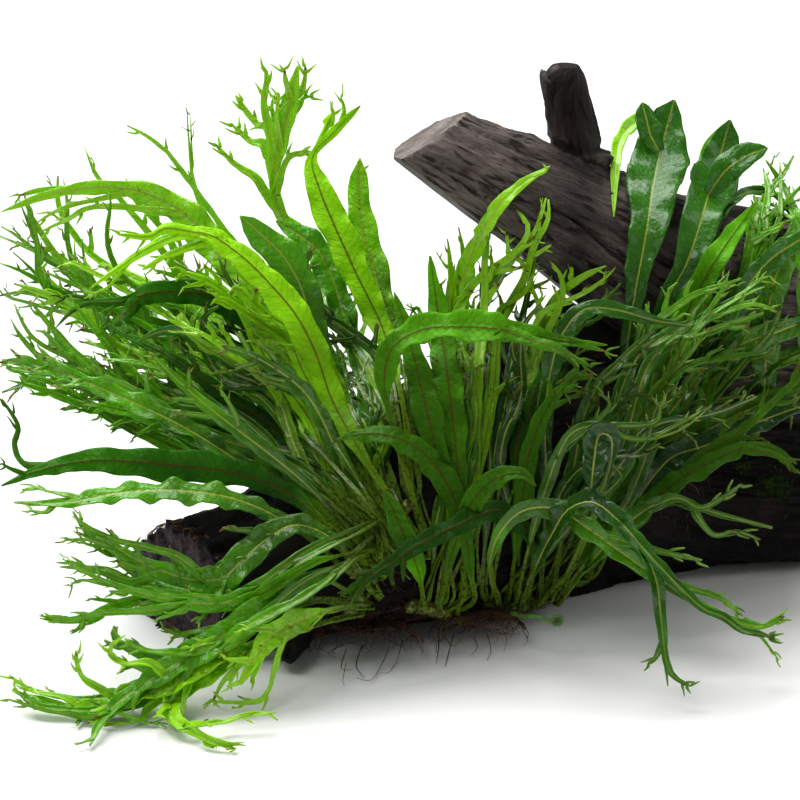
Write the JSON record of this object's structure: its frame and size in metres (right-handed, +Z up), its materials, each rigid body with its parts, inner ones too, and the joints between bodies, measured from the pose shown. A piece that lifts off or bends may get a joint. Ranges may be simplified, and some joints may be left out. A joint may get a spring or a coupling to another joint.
{
  "type": "java fern on driftwood",
  "caption": "Forked driftwood lying on its lower arm, overgrown with fork-tipped java fern: creeping rhizomes, matted roots and long arching fronds.",
  "frame": {"origin": "on the flat underside of the driftwood's lower arm, about below the middle of the front view", "axes": "+X to the right along the wood as seen from the front, +Y away from the front, +Z up"},
  "size_m": [0.4343, 0.2689, 0.2636],
  "materials": {
    "driftwood": "wet, weathered, near-black brown with long grain ridges",
    "rhizome": "scaly, fuzzy olive green",
    "roots": "matted dark brown fibres",
    "frond_bright": "wet thin leaf, bright yellow-green, light shines through",
    "frond_green": "wet thin leaf, mid green, satin gloss",
    "frond_dark": "wet leathery leaf, dark green, glossy"
  },
  "bodies": {
    "root": {"fiddlehead": "frond_bright", "frond_centre_1": "frond_bright", "frond_centre_10": "frond_dark", "frond_centre_12": "frond_green", "frond_centre_14": "frond_dark", "frond_centre_15": "frond_green", "frond_centre_2": "frond_green", "frond_centre_3": "frond_green", "frond_centre_4": "frond_bright", "frond_centre_9": "frond_bright", "frond_left_1": "frond_green", "frond_left_2": "frond_bright", "frond_left_3": "frond_bright", "frond_left_5": "frond_dark", "frond_left_6": "frond_green", "frond_left_7": "frond_dark", "frond_low_1": "frond_green", "frond_low_2": "frond_bright", "frond_low_3": "frond_bright", "frond_low_4": "frond_bright", "frond_low_5": "frond_bright", "frond_low_6": "frond_green", "frond_middle_11": "frond_green", "frond_middle_3": "frond_bright", "frond_middle_6": "frond_green", "frond_middle_7": "frond_green", "frond_right_1": "frond_green", "frond_right_11": "frond_green", "frond_right_12": "frond_dark", "frond_right_13": "frond_green", "frond_right_15": "frond_green", "frond_right_18": "frond_green", "frond_right_19": "frond_dark", "frond_right_2": "frond_dark", "frond_right_20": "frond_bright", "frond_right_3": "frond_bright", "frond_right_4": "frond_dark", "frond_right_5": "frond_bright", "frond_right_6": "frond_dark", "frond_right_8": "frond_green", "frond_right_9": "frond_dark", "frond_top_1": "frond_bright", "frond_top_2": "frond_green", "frond_top_3": "frond_bright", "frond_top_5": "frond_bright", "frond_top_6": "frond_bright", "frond_top_7": "frond_dark", "frond_wavy_1": "frond_dark", "frond_wavy_2": "frond_green", "rhizome_front": "rhizome", "rhizome_left": "rhizome", "rhizome_right": "rhizome", "rhizome_side": "rhizome", "root_mat_left": "roots", "root_mat_right": "roots", "wood_branch_stub": "driftwood", "wood_knot_root": "driftwood", "wood_lower_arm": "driftwood", "wood_stem": "driftwood", "wood_upper_arm": "driftwood"}
  },
  "joints": []
}
